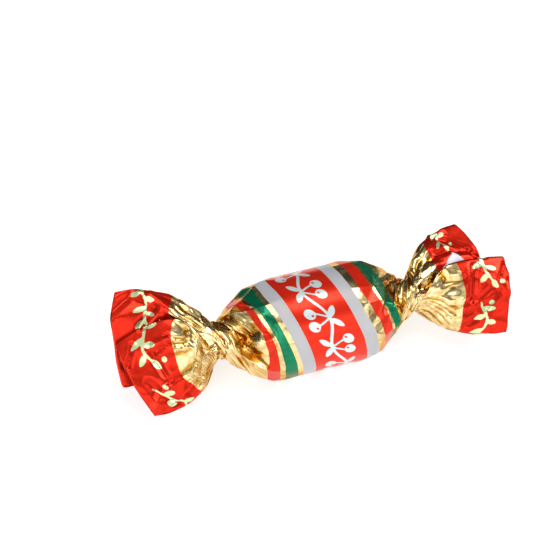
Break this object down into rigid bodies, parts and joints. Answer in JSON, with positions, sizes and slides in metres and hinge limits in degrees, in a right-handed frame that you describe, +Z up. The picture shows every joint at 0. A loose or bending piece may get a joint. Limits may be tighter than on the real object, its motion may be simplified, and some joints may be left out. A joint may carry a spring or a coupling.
{
  "type": "liqueur chocolate",
  "caption": "Barrel-shaped liqueur chocolate shut in printed foil film, twisted to a neck at each end and spread into a folded fan beyond each neck; it rests on its side and is eaten unwrapped.",
  "frame": {"origin": "on the table, under the middle of the bounding box", "axes": "+X along the sweet from the left fan to the right fan, as seen from the front; -Y towards the front, where the fans lean back and up; +Z up"},
  "size_m": [0.0772, 0.0198, 0.0194],
  "materials": {
    "printed_foil": "gold foil film with translucent red and green print, crisp gathered creases"
  },
  "bodies": {
    "root": {"twist_wrapper": "printed_foil"}
  },
  "joints": []
}
